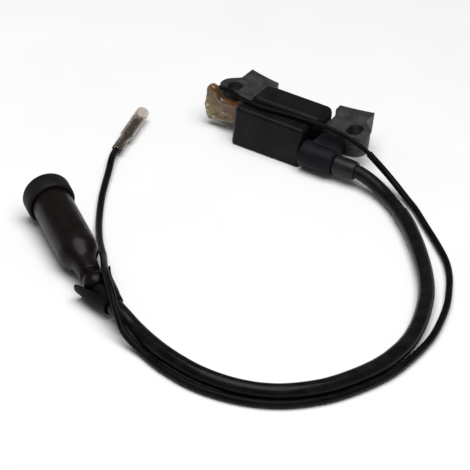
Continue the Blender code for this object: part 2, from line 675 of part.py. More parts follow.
def add_leads(frame):
    """Both leads: each a bare stretch, then the stretch in its vinyl sleeve."""
    add_tube("ht_lead", smooth_route(LEAD_ROUTE, 6.0), LEAD_RADIUS, "black_vinyl", frame, 4)
    sleeve = smooth_route(LEAD_SLEEVE_ROUTE, 10.0)
    add_tube("ht_lead_sleeve", sleeve, LEAD_SLEEVE_RADIUS, "black_vinyl", frame, 4)
    add_tube("kill_wire", smooth_route(WIRE_ROUTE, 3.2), WIRE_RADIUS, "black_vinyl", frame)
    thin = smooth_route(WIRE_SLEEVE_ROUTE, 7.2)
    add_tube("kill_wire_sleeve", thin, WIRE_SLEEVE_RADIUS, "black_vinyl", frame)


def clear_scene():
    for obj in list(bpy.data.objects):
        bpy.data.objects.remove(obj, do_unlink=True)


def main():
    clear_scene()
    reach = LUG_CENTRE[0] + LUG_RADIUS
    flywheel_y = POLE_INNER_Y + math.sqrt(FLYWHEEL_RADIUS**2 - POLE_INNER_X**2)
    pole_tip_y = flywheel_y - math.sqrt(FLYWHEEL_RADIUS**2 - POLE_OUTER_X**2)
    middle_x = (COLLAR_END - reach) / 2
    middle_y = (pole_tip_y + TOWER_Y - BOSS_RADIUS) / 2
    frame = add_frame("coil_frame", (-middle_x, -middle_y, 0.0))
    add_core(frame)
    add_windings(frame)
    add_coil_housing(frame)
    add_igniter(frame)
    add_tower(frame)
    add_stop_terminal(frame)
    add_leads(frame)
    add_cap(frame)
    add_boot(frame)
    add_bullet(frame)


main()
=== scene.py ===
"""Looks of the flywheel ignition coil.

Lengths are in millimetres in the coil's own frame, as in the CAD: X runs along the line of the
two mounting holes, Y points to the flywheel, Z is up. place() turns them into the row's metres.
"""

import math
import random

import bmesh
import bpy
from mathutils import Matrix, Vector


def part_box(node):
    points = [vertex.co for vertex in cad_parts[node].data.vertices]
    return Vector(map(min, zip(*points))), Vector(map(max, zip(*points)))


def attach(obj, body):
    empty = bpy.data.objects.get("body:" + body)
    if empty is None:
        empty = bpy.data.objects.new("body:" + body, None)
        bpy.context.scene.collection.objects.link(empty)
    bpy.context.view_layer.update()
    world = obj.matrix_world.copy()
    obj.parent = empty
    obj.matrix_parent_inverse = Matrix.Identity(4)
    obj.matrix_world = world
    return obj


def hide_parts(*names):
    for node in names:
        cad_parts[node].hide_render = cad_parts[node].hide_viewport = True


MM = 0.001

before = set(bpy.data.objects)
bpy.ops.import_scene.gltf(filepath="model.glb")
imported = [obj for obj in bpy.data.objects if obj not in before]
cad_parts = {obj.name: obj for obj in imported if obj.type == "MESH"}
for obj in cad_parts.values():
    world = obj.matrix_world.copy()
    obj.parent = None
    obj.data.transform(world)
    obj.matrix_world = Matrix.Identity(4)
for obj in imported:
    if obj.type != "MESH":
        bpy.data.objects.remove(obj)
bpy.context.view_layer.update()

# The winding block runs from -20 to 20 in X and its front face is at Y = -13.
COIL_LOW, COIL_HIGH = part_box("coil_housing")
ORIGIN = Vector(((COIL_LOW.x + COIL_HIGH.x) / 2, COIL_LOW.y + 13 * MM, 0.0))

CORE_LOW, CORE_HIGH = 7.0, 19.0
PLATES = 24
COIL_CASE = (-20, -13, 0), (20, 5, 24.5)
IGNITER_CASE = (-23.4, -23.5, 0), (16, -13.3, 21.5)
LEAD_AXIS = (-20.6, 8.0)
BOSS_START, COLLAR_START = 16.3, 34.8
# How far a case's foot is tucked in, and how high, on its way round the bottom edge.
BOTTOM_EDGE = ((0.6, 0.0), (0.18, 0.2), (0.0, 0.6))

CAMERA_AT = (431.4, -1035.84, 664.48)
CAMERA_AZIMUTH, CAMERA_ELEVATION, CAMERA_ROLL = 23.744, 33.0, 7.5
CAMERA_LENS, CAMERA_SENSOR = 191.5, 36.0
WORLD_STRENGTH, OVERHEAD_WATTS = 0.16, 27.0
FLOOR_HEIGHT = -0.0006

SWELL_RATES = (0.11, 0.27, 0.61)
BORE_DEPTH = 2.5

LEAD_RADIUS, LEAD_SLEEVE_RADIUS = 3.6, 4.1
WIRE_RADIUS, WIRE_SLEEVE_RADIUS = 1.2, 1.75
LEAD_ROUTE = [
    (29.0, -20.6, 8.0), (38.0, -20.6, 8.0), (46.8, -20.6, 8.0), (52.0, -21.3, 7.5),
    (58.6, -23.0, 6.2), (65.8, -26.2, 4.8), (72.8, -30.9, 4.2), (79.1, -36.3, 4.2),
]
LEAD_SLEEVE_ROUTE = [
    (79.4, -36.6, 4.2), (85.5, -42.6, 4.2), (91.0, -49.0, 4.2), (100.2, -60.9, 4.2),
    (110.1, -75.7, 4.2), (116.7, -87.6, 4.2), (121.8, -100.0, 4.2), (126.6, -117.5, 4.2),
    (128.7, -132.2, 4.2), (128.5, -144.8, 4.2), (125.7, -161.0, 4.2), (118.7, -178.7, 4.2),
    (110.5, -192.5, 4.2), (97.6, -205.6, 4.2), (82.3, -213.1, 4.2), (63.9, -215.3, 4.2),
    (47.1, -212.6, 4.2), (33.8, -208.1, 4.2), (21.6, -202.6, 4.6), (13.9, -199.5, 6.2),
    (6.8, -196.2, 7.2),
]
WIRE_ROUTE = [
    (-41.6, -11.1, 20.4), (-40.0, -9.9, 20.5), (-38.1, -8.8, 20.5), (-35.6, -8.3, 20.5),
    (-33.0, -8.9, 20.5), (-30.4, -10.2, 20.6), (-26.0, -13.2, 21.4), (-21.4, -16.1, 22.7),
    (-16.0, -17.6, 23.0), (-8.2, -17.4, 23.0), (0.5, -16.3, 23.0), (11.0, -15.1, 23.0),
    (20.8, -14.4, 23.0), (29.5, -13.7, 22.3), (38.2, -13.2, 20.3), (44.5, -12.8, 17.9),
    (48.6, -12.6, 15.9),
]
WIRE_SLEEVE_ROUTE = [
    (48.9, -12.6, 15.7), (52.6, -12.6, 13.2), (58.8, -12.8, 9.2), (66.4, -14.8, 5.4),
    (75.4, -19.7, 2.7), (82.9, -25.1, 1.9), (92.5, -34.9, 1.9), (104.1, -46.7, 1.9),
    (114.3, -58.3, 1.9), (121.1, -69.3, 1.9), (126.2, -81.1, 1.9), (130.5, -93.6, 1.9),
    (133.8, -109.2, 1.9), (135.4, -124.6, 1.9), (134.2, -145.3, 1.9), (130.9, -162.6, 1.9),
    (123.5, -181.2, 1.9), (114.7, -196.0, 1.9), (100.8, -210.1, 1.9), (83.8, -218.6, 1.9),
    (63.8, -221.6, 1.9), (45.6, -218.5, 1.9), (31.9, -213.4, 2.3), (20.4, -209.8, 5.6),
    (12.4, -204.7, 11.6), (7.6, -200.6, 15.3), (2.0, -194.9, 17.4), (-1.9, -190.2, 17.6),
    (-6.6, -183.6, 15.7), (-12.0, -174.4, 12.6), (-16.6, -166.8, 9.8), (-26.2, -152.9, 6.0),
    (-35.0, -138.5, 3.2), (-41.2, -127.1, 1.9), (-45.3, -119.1, 1.9), (-49.3, -110.7, 1.9),
    (-52.9, -102.2, 1.9), (-55.8, -94.9, 2.1), (-58.2, -88.8, 2.6), (-60.65, -83.0, 3.3),
    (-62.7, -77.3, 3.75), (-63.75, -72.2, 3.8),
]

SEAL_CENTRE = Vector((-61.0, -143.5, 12.2))
CAP_DIRECTION = Vector((0.769, -0.640, -0.058)).normalized()
SEAL_RADIUS, SEAL_LENGTH = 12.0, 10.5
NECK_END = 56.4
BEAD_AT, BEAD_RADIUS = 62.6, 6.1
BOOT_AT = 66.0
BOOT_DIRECTION = Vector((0.875, -0.483, -0.060)).normalized()
BULLET_START = Vector((-63.8, -71.9, 3.8))
BULLET_DIRECTION = Vector((-0.188, 0.982, 0.0)).normalized()

TAB_Y = -12.2
FLYWHEEL_RADIUS = 118.0
POLE_INNER, POLE_OUTER_X = (18.0, 16.8), 36.0
LUG_CENTRE, LUG_RADIUS = (34.4, -0.3), 8.6


# ---------------------------------------------------------------- helpers

def place(point):
    """A point of the coil's frame in the row's metres."""
    return ORIGIN + Vector(point) * MM


def arc(centre, radius, start, end, steps):
    """Points on a circle from one angle to another, in degrees."""
    points = []
    for i in range(steps + 1):
        angle = math.radians(start + (end - start) * i / steps)
        points.append((centre[0] + radius * math.cos(angle), centre[1] + radius * math.sin(angle)))
    return points


def round_rect(low, high, radius, steps):
    """A rectangle with round corners, anticlockwise."""
    (u0, v0), (u1, v1) = low, high
    return (
        arc((u1 - radius, v0 + radius), radius, -90, 0, steps)
        + arc((u1 - radius, v1 - radius), radius, 0, 90, steps)
        + arc((u0 + radius, v1 - radius), radius, 90, 180, steps)
        + arc((u0 + radius, v0 + radius), radius, 180, 270, steps)
    )


def smooth_route(points, spacing):
    """Points at an even spacing along a Catmull-Rom curve through the route's own points."""
    knots = [Vector(p) for p in points]
    knots = [2 * knots[0] - knots[1]] + knots + [2 * knots[-1] - knots[-2]]
    dense = []
    for a, b, c, d in zip(knots, knots[1:], knots[2:], knots[3:]):
        for i in range(24):
            t = i / 24
            dense.append(
                0.5 * (2 * b + (c - a) * t + (2 * a - 5 * b + 4 * c - d) * t**2
                       + (3 * b - a - 3 * c + d) * t**3)
            )
    dense.append(knots[-2])
    lengths = [0.0]
    for p, q in zip(dense, dense[1:]):
        lengths.append(lengths[-1] + (q - p).length)
    count = max(2, round(lengths[-1] / spacing))
    route, j = [], 0
    for i in range(count + 1):
        target = lengths[-1] * i / count
        while j < len(dense) - 2 and lengths[j + 1] < target:
            j += 1
        share = (target - lengths[j]) / (lengths[j + 1] - lengths[j])
        route.append(dense[j].lerp(dense[j + 1], min(1.0, share)))
    return route


def axis_matrix(origin, direction):
    """Local Z along a direction, and local Y as near up as can be."""
    side = Vector((0, 0, 1)).cross(direction).normalized()
    turn = Matrix((side, direction.cross(side), direction)).transposed()
    return Matrix.Translation(Vector(origin)) @ turn.to_4x4()


def along_x(x, y, z):
    """Local Z along the coil's X, from the point given."""
    return Matrix.Translation((x, y, z)) @ Matrix.Rotation(math.radians(90), 4, "Y")


def finish_mesh(name, shape, look, matrix=None, sharp=40):
    """An object of the row from a bmesh in the coil's millimetres."""
    if matrix is not None:
        bmesh.ops.transform(shape, matrix=matrix, verts=shape.verts)
    for vertex in shape.verts:
        vertex.co = place(vertex.co)
    bmesh.ops.recalc_face_normals(shape, faces=shape.faces)
    mesh = bpy.data.meshes.new(name)
    shape.to_mesh(mesh)
    shape.free()
    mesh.shade_smooth()
    mesh.set_sharp_from_angle(angle=math.radians(sharp))
    obj = bpy.data.objects.new(name, mesh)
    bpy.context.scene.collection.objects.link(obj)
    mesh.materials.append(look)
    return obj


def skin(rings, loop=False):
    """A closed surface through rings of equal length: with end faces, or joined into a loop."""
    shape = bmesh.new()
    rows = [[shape.verts.new(p) for p in ring] for ring in rings]
    pairs = list(zip(rows, rows[1:]))
    if loop:
        pairs.append((rows[-1], rows[0]))
    for a, b in pairs:
        for i in range(len(a)):
            j = (i + 1) % len(a)
            shape.faces.new((a[i], a[j], b[j], b[i]))
    if not loop:
        shape.faces.new(list(reversed(rows[0])))
        shape.faces.new(rows[-1])
    return shape


def turned(profile, steps, wave=None):
    """A closed (radius, height) profile turned about local Z, each point moved by wave if given."""
    rings = []
    for radius, height in profile:
        ring = []
        for i in range(steps):
            angle = 2 * math.pi * i / steps
            r, h = wave(angle, radius, height) if wave else (radius, height)
            ring.append((r * math.cos(angle), r * math.sin(angle), h))
        rings.append(ring)
    return skin(rings, loop=True)


def soft_profile(points, rounding, steps=3):
    """A closed profile with each corner rounded by up to the distance given."""
    vectors = [Vector(p) for p in points]
    result = []
    count = len(vectors)
    for i, corner in enumerate(vectors):
        before, after = vectors[i - 1] - corner, vectors[(i + 1) % count] - corner
        reach = min(rounding, before.length * 0.45, after.length * 0.45)
        start = corner + before.normalized() * reach
        end = corner + after.normalized() * reach
        for k in range(steps + 1):
            t = k / steps
            result.append(tuple(start * (1 - t) ** 2 + corner * 2 * t * (1 - t) + end * t**2))
    return result


def inset_outline(outline, distance):
    """An anticlockwise outline moved inwards by a small distance."""
    result = []
    count = len(outline)
    for i in range(count):
        a, b, c = (Vector(outline[k % count]) for k in (i - 1, i, i + 1))
        first, second = (b - a).normalized(), (c - b).normalized()
        normal = Vector((-first.y - second.y, first.x + second.x))
        if normal.length < 1e-6:
            normal = Vector((-first.y, first.x))
        normal.normalize()
        along = max(0.35, normal.dot(Vector((-first.y, first.x))))
        result.append(tuple(b + normal * (distance / along)))
    return result


def frames_along(route):
    """A point, and two steady directions across, at each point of a route."""
    tangent = (route[1] - route[0]).normalized()
    across = tangent.cross(Vector((0, 0, 1))).normalized()
    result = []
    for i, point in enumerate(route):
        ahead = route[min(i + 1, len(route) - 1)] - route[max(i - 1, 0)]
        tangent = ahead.normalized()
        across = (across - tangent * across.dot(tangent)).normalized()
        result.append((point, across, tangent.cross(across)))
    return result


# ---------------------------------------------------------------- materials

class Look:
    """A node material round one Principled shader."""

    def __init__(self, name, color, roughness, **sockets):
        self.material = bpy.data.materials.new(name)
        self.material.use_nodes = True
        self.tree = self.material.node_tree
        self.shader = self.tree.nodes["Principled BSDF"]
        self.set("Base Color", (*color, 1.0))
        self.set("Roughness", roughness)
        for socket, value in sockets.items():
            self.set(socket.replace("_", " "), value)
        self.position = self.tree.nodes.new("ShaderNodeTexCoord").outputs["Object"]

    def set(self, socket, value):
        self.shader.inputs[socket].default_value = value

    def node(self, kind, **values):
        made = self.tree.nodes.new(kind)
        for key, value in values.items():
            if hasattr(made, key):
                setattr(made, key, value)
            else:
                made.inputs[key.replace("_", " ")].default_value = value
        return made

    def link(self, output, target):
        self.tree.links.new(output, target)

    def noise(self, scale, detail=3.0, roughness=0.55, stretch=None):
        made = self.node("ShaderNodeTexNoise", Scale=scale, Detail=detail, Roughness=roughness)
        source = self.position
        if stretch:
            mapping = self.node("ShaderNodeMapping")
            mapping.inputs["Scale"].default_value = stretch
            self.link(self.position, mapping.inputs["Vector"])
            source = mapping.outputs["Vector"]
        self.link(source, made.inputs["Vector"])
        return made.outputs["Fac"]

    def ramp(self, value, stops):
        made = self.node("ShaderNodeValToRGB")
        elements = made.color_ramp.elements
        while len(elements) < len(stops):
            elements.new(0.5)
        for element, (at, color) in zip(elements, stops):
            element.position = at
            element.color = (*color, 1.0)
        self.link(value, made.inputs["Fac"])
        return made.outputs["Color"]

    def mixed(self, under, over, share, kind):
        made = self.node("ShaderNodeMixRGB", blend_type=kind, Fac=share)
        self.link(under, made.inputs["Color1"])
        self.link(over, made.inputs["Color2"])
        return made.outputs["Color"]

    def vary_color(self, value, low, high, start=0.3, end=0.7):
        self.link(self.ramp(value, [(start, low), (end, high)]), self.shader.inputs["Base Color"])

    def vary_roughness(self, value, low, high, start=0.3, end=0.7):
        made = self.node("ShaderNodeMapRange")
        limits = (("From Min", start), ("From Max", end), ("To Min", low), ("To Max", high))
        for socket, number in limits:
            made.inputs[socket].default_value = number
        self.link(value, made.inputs["Value"])
        self.link(made.outputs["Result"], self.shader.inputs["Roughness"])

    def bump(self, value, strength, distance, under=None):
        made = self.node("ShaderNodeBump", Strength=strength, Distance=distance)
        self.link(value, made.inputs["Height"])
        if under is not None:
            self.link(under, made.inputs["Normal"])
        self.link(made.outputs["Normal"], self.shader.inputs["Normal"])
        return made.outputs["Normal"]

    def spot(self, point, radius):
        """1 inside a small round mark at a point of the coil's frame, and 0 outside."""
        away = self.node("ShaderNodeVectorMath", operation="DISTANCE")
        self.link(self.position, away.inputs[0])
        away.inputs[1].default_value = place(point)
        step = self.node("ShaderNodeMapRange")
        step.inputs["From Min"].default_value = radius * MM
        step.inputs["From Max"].default_value = (radius - 0.25) * MM
        self.link(away.outputs["Value"], step.inputs["Value"])
        return step.outputs["Result"]


def moulded_black(name, color, low, high, bump=0.25, shine=0.1):
    """Satin black moulding: fine grain, faint flow marks and a little handling dust."""
    look = Look(name, color, (low + high) / 2, Specular_IOR_Level=shine)
    cloud = look.noise(90, 5)
    lighter = tuple(min(1.0, c * 1.9 + 0.004) for c in color)
    look.vary_color(cloud, color, lighter, 0.35, 0.8)
    look.vary_roughness(look.noise(240, 4), low, high)
    grain = look.bump(look.noise(2600, 2), bump, 0.00006)
    look.bump(look.noise(160, 3), 0.2, 0.0003, grain)
    return look.material


def rubber(name, color, low, high, shine=0.12):
    """Soft black: a fine matt grain with dull and shiny patches."""
    look = Look(name, color, (low + high) / 2, Specular_IOR_Level=shine)
    patch = look.noise(130, 4)
    look.vary_color(patch, color, tuple(c * 2.0 + 0.003 for c in color), 0.35, 0.75)
    look.vary_roughness(patch, low, high)
    grain = look.bump(look.noise(1900, 3), 0.3, 0.00008)
    look.bump(look.noise(210, 2), 0.25, 0.0004, grain)
    return look.material


def core_look(name, edge):
    """Black-oxide steel: dark with worn lighter patches. The stack's edge also shows its plates."""
    look = Look(name, (0.05, 0.05, 0.052), 0.5, Metallic=0.75)
    wear = look.noise(170, 7, 0.7)
    look.vary_color(wear, (0.040, 0.040, 0.043), (0.125, 0.125, 0.125), 0.36, 0.74)
    look.vary_roughness(look.noise(420, 5), 0.40, 0.62)
    fine = look.noise(1500, 4, stretch=(1, 1, 0.15) if edge else None)
    grain = look.bump(fine, 0.45, 0.00012)
    if not edge:
        for point in ((30.3, 8.6, CORE_HIGH), (-30.3, 8.0, CORE_HIGH)):
            grain = look.bump(look.spot(point, 1.1), 0.9, -0.0005, grain)
    return look.material


def metal(name, color, dark, roughness, scale=300):
    """Plain or plated metal with a little tarnish."""
    look = Look(name, color, roughness, Metallic=1.0)
    tarnish = look.noise(scale, 6, 0.65)
    look.vary_color(tarnish, dark, color, 0.32, 0.66)
    look.vary_roughness(tarnish, roughness + 0.18, roughness)
    look.bump(look.noise(1800, 3), 0.2, 0.00004)
    return look.material


def plain_part(name, low_color, high_color, roughness, scale=400):
    """Unglamorous insides: mottled colour, a little grain."""
    look = Look(name, low_color, roughness)
    mottle = look.noise(scale, 4)
    look.vary_color(mottle, low_color, high_color)
    look.vary_roughness(mottle, roughness - 0.08, roughness + 0.1)
    look.bump(look.noise(2200, 2), 0.2, 0.00005)
    return look.material


def wound_wire(name, pitch):
    """Enamelled copper wire: fine rings across the winding's axis, each darkened in its groove between
    turns as painted shade.
    """
    look = Look(name, (0.50, 0.20, 0.07), 0.35, Metallic=0.9)
    wave = look.node("ShaderNodeTexWave", bands_direction="X", Scale=1.0 / (pitch * MM * 20))
    wave.inputs["Distortion"].default_value = 0.3
    look.link(look.position, wave.inputs["Vector"])
    # The colour follows the bump's bands: darker in the grooves between turns, which is painted shade.
    look.vary_color(wave.outputs["Fac"], (0.22, 0.07, 0.025), (0.62, 0.27, 0.10), 0.1, 0.8)
    look.bump(wave.outputs["Fac"], 0.6, 0.0001)
    return look.material


def amber_vinyl():
    """Amber vinyl: darker and deep orange towards the top right, paler towards the lower left, with
    blotches, and pale specks added to the colour as painted highlights.
    """
    look = Look(
        "amber_vinyl", (0.75, 0.42, 0.17), 0.12, Transmission_Weight=0.78, IOR=1.33,
        Coat_Weight=0.6, Coat_Roughness=0.06,
    )
    split = look.node("ShaderNodeSeparateXYZ")
    look.link(look.position, split.inputs["Vector"])
    along = look.node("ShaderNodeMapRange")
    centre = place((-38.0, -12.2, 12.5))
    along.inputs["From Min"].default_value = centre.z - 9 * MM
    along.inputs["From Max"].default_value = centre.z + 10 * MM
    look.link(split.outputs["Z"], along.inputs["Value"])
    across = look.node("ShaderNodeMapRange")
    across.inputs["From Min"].default_value = centre.x - 8 * MM
    across.inputs["From Max"].default_value = centre.x + 14 * MM
    look.link(split.outputs["X"], across.inputs["Value"])
    total = look.node("ShaderNodeMath", operation="ADD")
    look.link(along.outputs["Result"], total.inputs[0])
    look.link(across.outputs["Result"], total.inputs[1])
    cloudy = look.node("ShaderNodeMath", operation="ADD")
    half = look.node("ShaderNodeMath", operation="MULTIPLY")
    half.inputs[1].default_value = 0.7
    look.link(look.noise(230, 4), half.inputs[0])
    look.link(total.outputs["Value"], cloudy.inputs[0])
    look.link(half.outputs["Value"], cloudy.inputs[1])
    scaled = look.node("ShaderNodeMath", operation="MULTIPLY")
    scaled.inputs[1].default_value = 0.45
    look.link(cloudy.outputs["Value"], scaled.inputs[0])
    stops = [(0.3, (0.58, 0.50, 0.32)), (0.52, (0.52, 0.37, 0.17)), (0.8, (0.40, 0.16, 0.04))]
    slope = look.ramp(scaled.outputs["Value"], stops)
    blotches = look.ramp(look.noise(260, 3), [(0.40, (0.34, 0.31, 0.20)), (0.60, (1.0, 1.0, 1.0))])
    blotched = look.mixed(slope, blotches, 0.7, "MULTIPLY")
    # Pale specks added to the base colour: painted highlights.
    painted_highlight_specks = look.ramp(look.noise(480, 1), [(0.66, (0.0, 0.0, 0.0)), (0.72, (0.9, 0.85, 0.7))])
    look.link(look.mixed(blotched, painted_highlight_specks, 1.0, "ADD"), look.shader.inputs["Base Color"])
    look.bump(look.noise(300, 2), 0.8, 0.0010)
    return look.material


def clear_vinyl():
    """Clear soft vinyl, a little cloudy, with small waves from handling."""
    look = Look(
        "clear_vinyl", (0.52, 0.47, 0.42), 0.1, Transmission_Weight=0.96, IOR=1.28,
        Coat_Weight=0.25, Coat_Roughness=0.08, Specular_IOR_Level=0.4,
    )
    look.vary_color(look.noise(200, 2), (0.50, 0.45, 0.39), (0.62, 0.56, 0.50))
    look.vary_roughness(look.noise(420, 3), 0.05, 0.14)
    look.bump(look.noise(200, 2), 0.35, 0.0005)
    return look.material


def floor_look():
    look = Look("pale_floor", (0.95, 0.95, 0.95), 0.7)
    look.vary_color(look.noise(14, 2), (0.94, 0.94, 0.94), (0.97, 0.97, 0.97))
    return look.material


BLACK_REAR = moulded_black("black_moulding_rear", (0.0045, 0.0040, 0.0040), 0.30, 0.46)
BLACK_FRONT = moulded_black("black_moulding_front", (0.0042, 0.0042, 0.0052), 0.26, 0.42)
BLACK_TOWER = moulded_black("black_moulding_tower", (0.0056, 0.0056, 0.0076), 0.40, 0.55, shine=0.08)
GLOSS_BLACK = moulded_black("gloss_black", (0.0036, 0.0016, 0.0014), 0.27, 0.40, bump=0.05, shine=0.15)
SEAL_RUBBER = rubber("seal_rubber", (0.0062, 0.0056, 0.0054), 0.50, 0.68)
BOOT_RUBBER = rubber("boot_rubber", (0.0026, 0.0026, 0.0030), 0.42, 0.60, shine=0.05)
COLLAR_RUBBER = rubber("collar_rubber", (0.0062, 0.0062, 0.0078), 0.34, 0.5, shine=0.22)
LEAD_VINYL = rubber("lead_vinyl", (0.0036, 0.0034, 0.0040), 0.24, 0.38)
SLEEVE_VINYL = rubber("sleeve_vinyl", (0.0032, 0.0028, 0.0034), 0.20, 0.34)
WIRE_VINYL = rubber("wire_vinyl", (0.0028, 0.0028, 0.0032), 0.30, 0.46, shine=0.05)
CORE_FACE = core_look("core_face", edge=False)
CORE_EDGE = core_look("core_edge", edge=True)
BRASS = metal("brass", (0.66, 0.44, 0.18), (0.34, 0.20, 0.07), 0.28)
TINNED = metal("tinned_steel", (0.38, 0.35, 0.21), (0.07, 0.065, 0.04), 0.32, scale=330)
AMBER = amber_vinyl()
CLEAR = clear_vinyl()


# ---------------------------------------------------------------- camera, floor and light

def add_camera():
    """Above and in front of the coil, a little to its right, and rolled anticlockwise."""
    angles = (CAMERA_AZIMUTH, CAMERA_ELEVATION, CAMERA_ROLL)
    azimuth, elevation, roll = (math.radians(angle) for angle in angles)
    forward = Vector((
        -math.sin(azimuth) * math.cos(elevation),
        math.cos(azimuth) * math.cos(elevation),
        -math.sin(elevation),
    ))
    level = Vector((math.cos(azimuth), math.sin(azimuth), 0.0))
    upright = level.cross(forward)
    right = level * math.cos(roll) + upright * math.sin(roll)
    up = upright * math.cos(roll) - level * math.sin(roll)
    data = bpy.data.cameras.new("camera")
    data.sensor_width = CAMERA_SENSOR
    data.lens = CAMERA_LENS
    data.clip_start, data.clip_end = 0.05, 20.0
    camera = bpy.data.objects.new("camera", data)
    turn = Matrix((right, up, -forward)).transposed().to_4x4()
    camera.matrix_world = Matrix.Translation(place(CAMERA_AT)) @ turn
    bpy.context.scene.collection.objects.link(camera)
    bpy.context.scene.camera = camera


def add_area(name, position, target, size, power):
    data = bpy.data.lights.new(name, "AREA")
    data.shape = "RECTANGLE"
    data.size, data.size_y = size
    data.energy = power
    light = bpy.data.objects.new(name, data)
    direction = Vector(target) - Vector(position)
    light.location = position
    light.rotation_euler = direction.to_track_quat("-Z", "Y").to_euler()
    bpy.context.scene.collection.objects.link(light)


def add_stage():
    """A pale floor, a dim even world, and one soft box over the object."""
    shape = bmesh.new()
    bmesh.ops.create_grid(shape, x_segments=8, y_segments=8, size=3.0)
    mesh = bpy.data.meshes.new("floor")
    shape.to_mesh(mesh)
    shape.free()
    floor = bpy.data.objects.new("floor", mesh)
    floor.location = (0, 0, FLOOR_HEIGHT)
    bpy.context.scene.collection.objects.link(floor)
    mesh.materials.append(floor_look())
    world = bpy.data.worlds.new("studio")
    bpy.context.scene.world = world
    world.use_nodes = True
    background = world.node_tree.nodes["Background"]
    background.inputs["Color"].default_value = (1.0, 1.0, 1.0, 1.0)
    background.inputs["Strength"].default_value = WORLD_STRENGTH
    bpy.context.scene.view_settings.view_transform = "Standard"
    add_area("overhead", (0.1, -0.3, 1.5), (0.02, -0.1, 0.0), (1.5, 1.3), OVERHEAD_WATTS)


add_camera()
add_stage()


# ---------------------------------------------------------------- cords

def cord_mesh(name, route, radius, look, sides, hollow=0.0, rim=0.25, waver=0.0):
    """A cord or a sleeve. A sleeve's ends turn in over a round rim to its bore."""
    frames = frames_along(route)
    rng = random.Random(name)
    phases = [rng.uniform(0, 2 * math.pi) for _ in range(3)]
    travelled = 0.0
    stations = []
    for i, (point, across, up) in enumerate(frames):
        if i:
            travelled += (route[i] - route[i - 1]).length
        swell = sum(math.sin(travelled * f + p) for f, p in zip(SWELL_RATES, phases)) / 3
        stations.append((point, across, up, radius * (1 + waver * (swell - 1) / 2)))
    first, last = frames[0], frames[-1]
    start_way = (route[0] - route[1]).normalized()
    end_way = (route[-1] - route[-2]).normalized()

    def ring(point, across, up, r):
        return [
            point + (across * math.cos(a) + up * math.sin(a)) * r
            for a in (2 * math.pi * k / sides for k in range(sides))
        ]

    rings = []
    inner = hollow if hollow else radius * 0.55
    turn_in = [(inner, -BORE_DEPTH if hollow else 0.0), (inner, 0.0), (radius - rim, 0.0),
               (radius - 0.3 * rim, -0.3 * rim)]
    for r, out in turn_in:
        rings.append(ring(first[0] + start_way * out, first[1], first[2], r))
    start_trim = rim / max(1e-6, (route[1] - route[0]).length)
    for i, (point, across, up, r) in enumerate(stations):
        if i == 0:
            point = route[0].lerp(route[1], min(0.4, start_trim))
        if i == len(stations) - 1:
            point = route[-1].lerp(route[-2], min(0.4, start_trim))
        rings.append(ring(point, across, up, r))
    for r, out in reversed(turn_in):
        rings.append(ring(last[0] + end_way * out, last[1], last[2], r))
    return finish_mesh(name, skin(rings), look, sharp=50)


def declare_cord(obj, node):
    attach(obj, "coil")
    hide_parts(node)


sleeve_route = smooth_route(LEAD_SLEEVE_ROUTE, 2.5)
wire_sleeve_route = smooth_route(WIRE_SLEEVE_ROUTE, 1.8)
lead_route = smooth_route(LEAD_ROUTE + [tuple(sleeve_route[1])], 2.0)
wire_route = smooth_route(WIRE_ROUTE + [tuple(wire_sleeve_route[1])], 1.2)

lead = cord_mesh("spark_lead", lead_route, LEAD_RADIUS, LEAD_VINYL, 28)
sleeve = cord_mesh(
    "spark_lead_sleeve", sleeve_route, LEAD_SLEEVE_RADIUS, SLEEVE_VINYL, 32, hollow=3.65, rim=0.3,
    waver=0.02,
)
wire = cord_mesh("stop_wire", wire_route, WIRE_RADIUS, WIRE_VINYL, 16)
wire_sleeve = cord_mesh(
    "stop_wire_sleeve", wire_sleeve_route, WIRE_SLEEVE_RADIUS, WIRE_VINYL, 20, hollow=1.25,
    rim=0.2, waver=0.03,
)


# ---------------------------------------------------------------- the coil module

def core_outline():
    """The plates' outline: a bar with a foot at each end, each foot with a pole shoe and a lug."""
    flywheel_y = POLE_INNER[1] + math.sqrt(FLYWHEEL_RADIUS**2 - POLE_INNER[0] ** 2)
    right = [(21.5, -7.5), (23.0, -8.9)]
    right += arc(LUG_CENTRE, LUG_RADIUS, -90, 50, 26)
    right.append((POLE_OUTER_X + 0.4, 9.8))
    steps = 14
    for i in range(steps + 1):
        x = POLE_OUTER_X + (POLE_INNER[0] - POLE_OUTER_X) * i / steps
        right.append((x, flywheel_y - math.sqrt(FLYWHEEL_RADIUS**2 - x**2)))
    right += [(POLE_INNER[0], 11.5), (20.5, 6.3), (20.5, -0.5)]
    return right + [(-x, y) for x, y in reversed(right)]


def add_core():
    """A stack of pressed plates: each stands out or in by a hair, with a seam under it."""
    outer = core_outline()
    slots = []
    for x, (front, back) in ((-35.0, (-4.6, 4.4)), (35.0, (-7.0, 4.7))):
        slots.append(round_rect((x - 3.7, front), (x + 3.7, back), 3.7, 9))
    pitch = (CORE_HIGH - CORE_LOW) / PLATES
    seam, depth = 0.07, 0.10
    rng = random.Random(11)
    levels = []
    for i in range(PLATES):
        low = CORE_LOW + i * pitch
        slip = rng.uniform(0.0, 0.05)
        levels += [(low, depth), (low + seam, slip), (low + pitch - seam, slip)]
    levels.append((CORE_HIGH, depth * 0.7))
    shape = bmesh.new()
    caps = {0: [], 1: []}
    for outline, inward in [(outer, 1.0)] + [(slot, -1.0) for slot in slots]:
        rows = []
        for height, inset in levels:
            moved = inset_outline(outline, inset * inward)
            rows.append([shape.verts.new((x, y, height)) for x, y in moved])
        for a, b in zip(rows, rows[1:]):
            for i in range(len(a)):
                j = (i + 1) % len(a)
                face = shape.faces.new((a[i], a[j], b[j], b[i]))
                face.material_index = 1
        for end, row in ((0, rows[0]), (1, rows[-1])):
            for i in range(len(row)):
                caps[end].append(shape.edges.get((row[i], row[(i + 1) % len(row)])))
    for edges in caps.values():
        bmesh.ops.triangle_fill(shape, use_beauty=True, use_dissolve=False, edges=edges)
    core = finish_mesh("core_stack", shape, CORE_FACE, sharp=28)
    core.data.materials.append(CORE_EDGE)
    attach(core, "coil")
    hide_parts("core_laminations")


